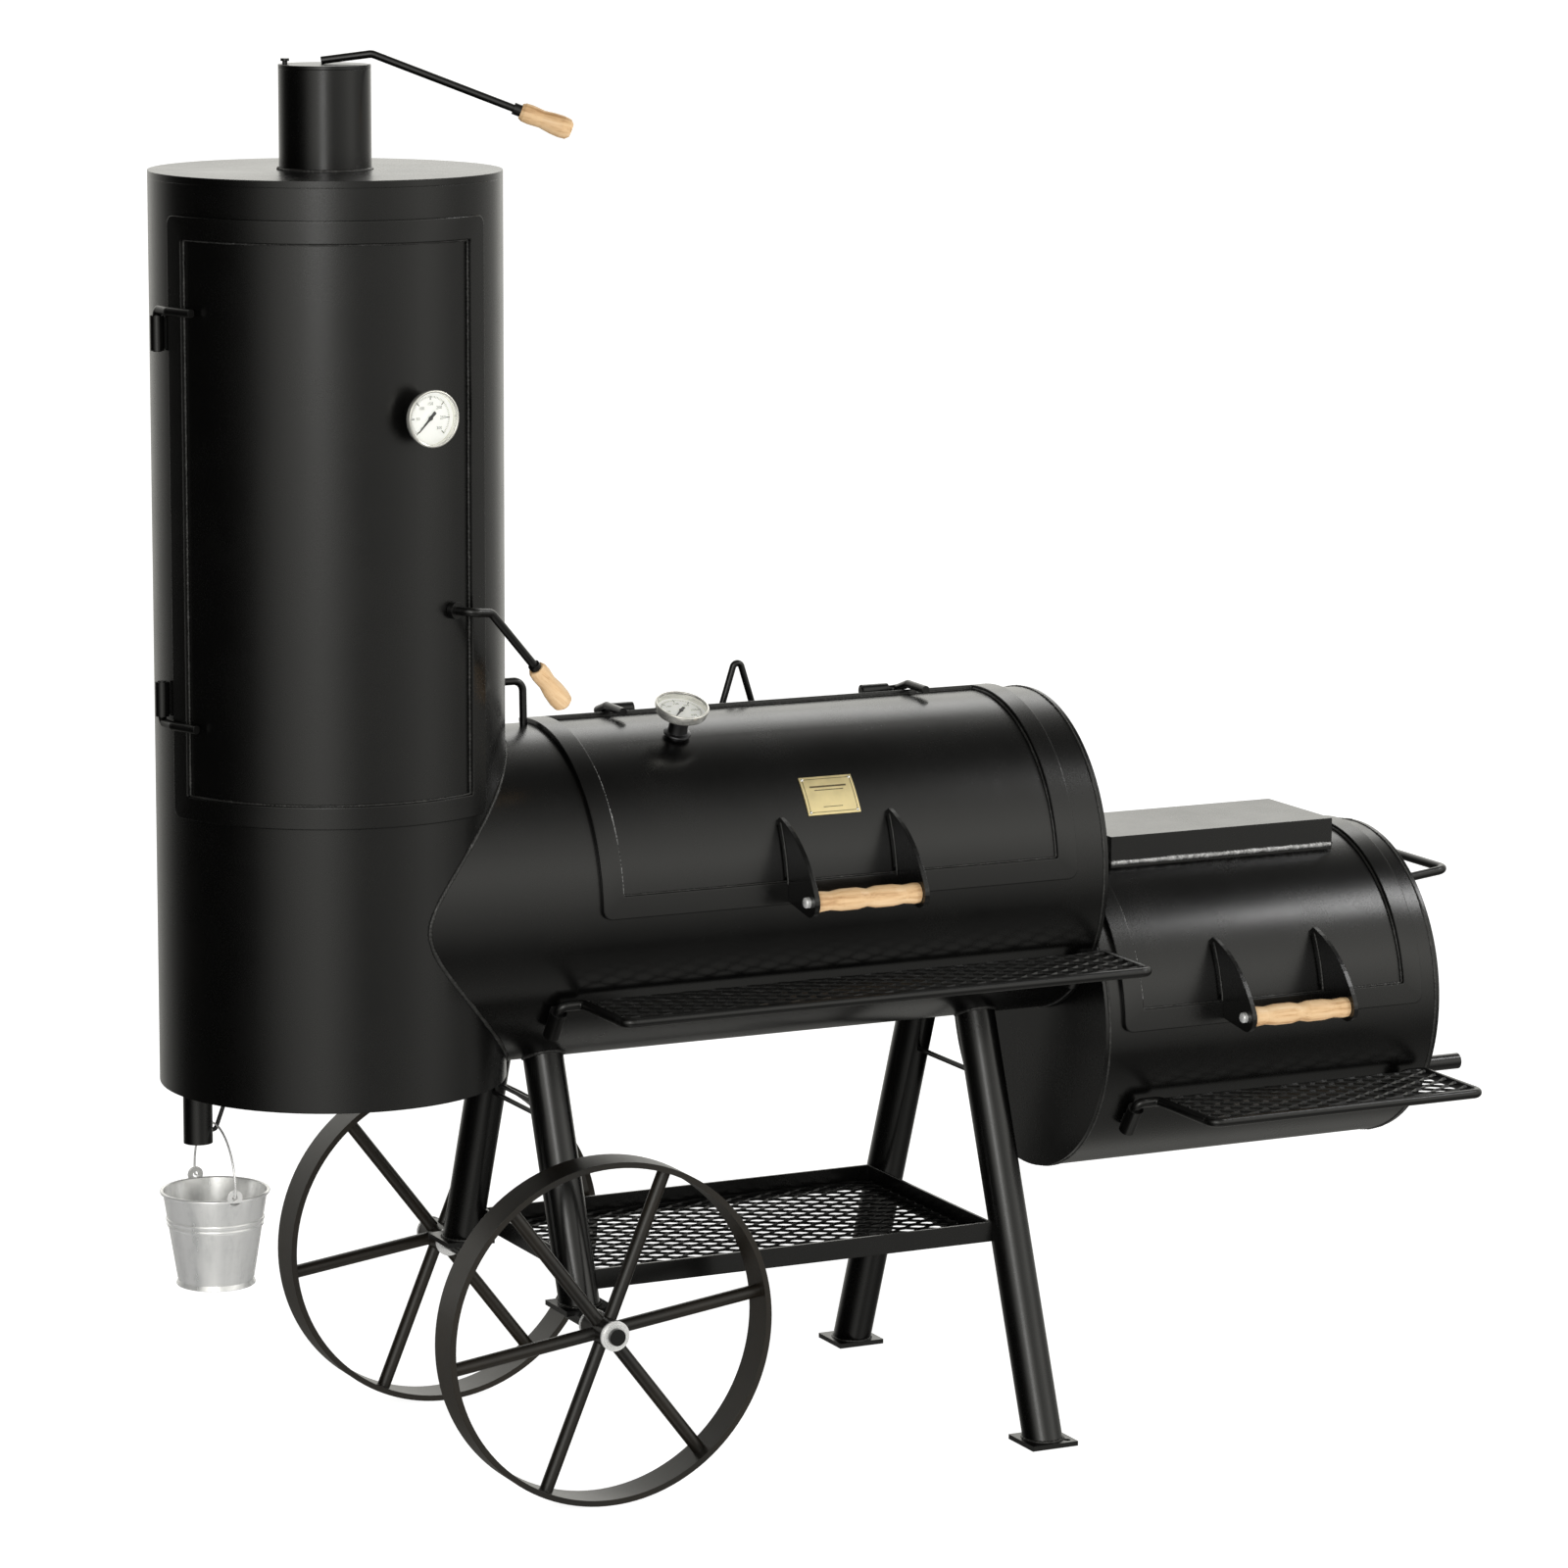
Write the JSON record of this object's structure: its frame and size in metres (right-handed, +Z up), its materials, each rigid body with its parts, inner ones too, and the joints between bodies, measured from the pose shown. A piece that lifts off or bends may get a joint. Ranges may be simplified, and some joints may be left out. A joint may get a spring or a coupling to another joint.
{
  "type": "offset smoker",
  "caption": "Wheeled steel offset smoker with an upright smoking tower, a level cooking chamber, a side firebox, folding lids, wooden grips and a drip bucket.",
  "frame": {"origin": "bottom centre of the whole smoker's bounding box, on the ground", "axes": "+X from the tower to the firebox, +Y from the front to the back, +Z up"},
  "size_m": [1.6922, 0.6178, 1.6783],
  "materials": {
    "black_steel": "satin black heat-proof paint",
    "wood": "turned pale wood, oiled",
    "zinc": "galvanised",
    "bare_steel": "bare steel",
    "brass": "brushed, left blank",
    "dial": "printed dial",
    "glass": "clear",
    "pointer": "black"
  },
  "bodies": {
    "frame_and_pipes": {"tower_shell": "black_steel", "tower_plates": "black_steel", "chimney_pipe": "black_steel", "damper_pin": "black_steel", "drain_pipe": "black_steel", "bucket_hook": "black_steel", "chamber_shell": "black_steel", "throat_plates": "black_steel", "firebox_shell": "black_steel", "firebox_outer_plate": "black_steel", "air_slide_rails": "black_steel", "firebox_pull_handle": "black_steel", "hinge_barrels": "black_steel", "stay_rods": "black_steel", "grate_rails": "black_steel", "tower_racks": "bare_steel", "cooking_grates": "bare_steel", "fire_grate": "bare_steel", "legs": "black_steel", "leg_plates": "black_steel", "leg_ties": "black_steel", "lower_shelf_frame": "black_steel", "lower_shelf_mesh": "black_steel", "front_shelf_frames": "black_steel", "front_shelf_meshes": "black_steel", "shelf_sockets": "black_steel", "axle": "black_steel", "axle_washers": "zinc"},
    "damper": {"chimney_damper": "black_steel", "damper_grip": "wood"},
    "tower_door": {"tower_door": "black_steel", "tower_door_strip": "black_steel", "tower_door_hinge_rods": "black_steel", "tower_thermometer": "bare_steel", "tower_dial": "dial", "tower_glass": "glass"},
    "tower_latch": {"tower_latch": "black_steel", "tower_latch_grip": "wood"},
    "tower_pointer": {"tower_pointer": "pointer"},
    "chamber_lid": {"chamber_lid": "black_steel", "chamber_lid_strip": "black_steel", "chamber_lid_fittings": "black_steel", "chamber_lid_grip": "wood", "chamber_grip_bolt": "zinc", "blank_plate": "brass", "lid_thermometer": "bare_steel", "lid_dial": "dial", "lid_glass": "glass"},
    "lid_pointer": {"lid_pointer": "pointer"},
    "firebox_lid": {"firebox_lid": "black_steel", "firebox_lid_strip": "black_steel", "firebox_lid_fittings": "black_steel", "firebox_lid_grip": "wood", "firebox_grip_bolt": "zinc", "hot_plate": "black_steel"},
    "front_wheel": {"front_wheel": "black_steel"},
    "rear_wheel": {"rear_wheel": "black_steel"},
    "air_slide": {"air_slide": "black_steel"},
    "bucket_bail": {"bucket_bail": "zinc"},
    "bucket": {"bucket": "zinc"}
  },
  "joints": [
    {"name": "damper_swing", "type": "hinge", "parent": "frame_and_pipes", "child": "damper", "pos_m": [-0.66915, 0.03676, 1.66], "axis": [0, 0, 1], "range_deg": [0, 90]},
    {"name": "tower_door_swing", "type": "hinge", "parent": "frame_and_pipes", "child": "tower_door", "pos_m": [-0.83858, 0.00769, 1.155], "axis": [0, 0, -1], "range_deg": [0, 110]},
    {"name": "tower_latch_turn", "type": "hinge", "parent": "tower_door", "child": "tower_latch", "pos_m": [-0.55245, -0.16825, 1.054], "axis": [0.3665, -0.9304, 0], "range_deg": [0, 90]},
    {"name": "tower_pointer_turn", "type": "hinge", "parent": "tower_door", "child": "tower_pointer", "pos_m": [-0.59485, -0.2021, 1.278], "axis": [-0.1426, 0.9898, 0], "range_deg": [0, 270], "stiffness_Nm_per_rad": 0.001},
    {"name": "chamber_lid_lift", "type": "hinge", "parent": "frame_and_pipes", "child": "chamber_lid", "pos_m": [-0.0575, 0.08181, 0.88191], "axis": [-1, 0, 0], "range_deg": [0, 112]},
    {"name": "lid_pointer_turn", "type": "hinge", "parent": "chamber_lid", "child": "lid_pointer", "pos_m": [-0.2165, -0.06345, 0.89629], "axis": [0, 0.3681, -0.9298], "range_deg": [0, 270], "stiffness_Nm_per_rad": 0.001},
    {"name": "firebox_lid_lift", "type": "hinge", "parent": "frame_and_pipes", "child": "firebox_lid", "pos_m": [0.5385, 0.1358, 0.65345], "axis": [-1, 0, 0], "range_deg": [0, 100]},
    {"name": "front_wheel_spin", "type": "hinge", "parent": "frame_and_pipes", "child": "front_wheel", "pos_m": [-0.3895, -0.226, 0.205], "axis": [0, 1, 0], "continuous": true},
    {"name": "rear_wheel_spin", "type": "hinge", "parent": "frame_and_pipes", "child": "rear_wheel", "pos_m": [-0.3895, 0.268, 0.205], "axis": [0, 1, 0], "continuous": true},
    {"name": "air_slide_travel", "type": "slide", "parent": "frame_and_pipes", "child": "air_slide", "axis": [0, 1, 0], "range_m": [0, 0.055]},
    {"name": "bail_swing", "type": "hinge", "parent": "frame_and_pipes", "child": "bucket_bail", "pos_m": [-0.772, 0.0345, 0.431], "axis": [1, 0, 0], "range_deg": [-20, 20]},
    {"name": "bucket_tip", "type": "hinge", "parent": "bucket_bail", "child": "bucket", "pos_m": [-0.772, 0.0345, 0.36], "axis": [0, 1, 0], "range_deg": [-45, 45]}
  ]
}
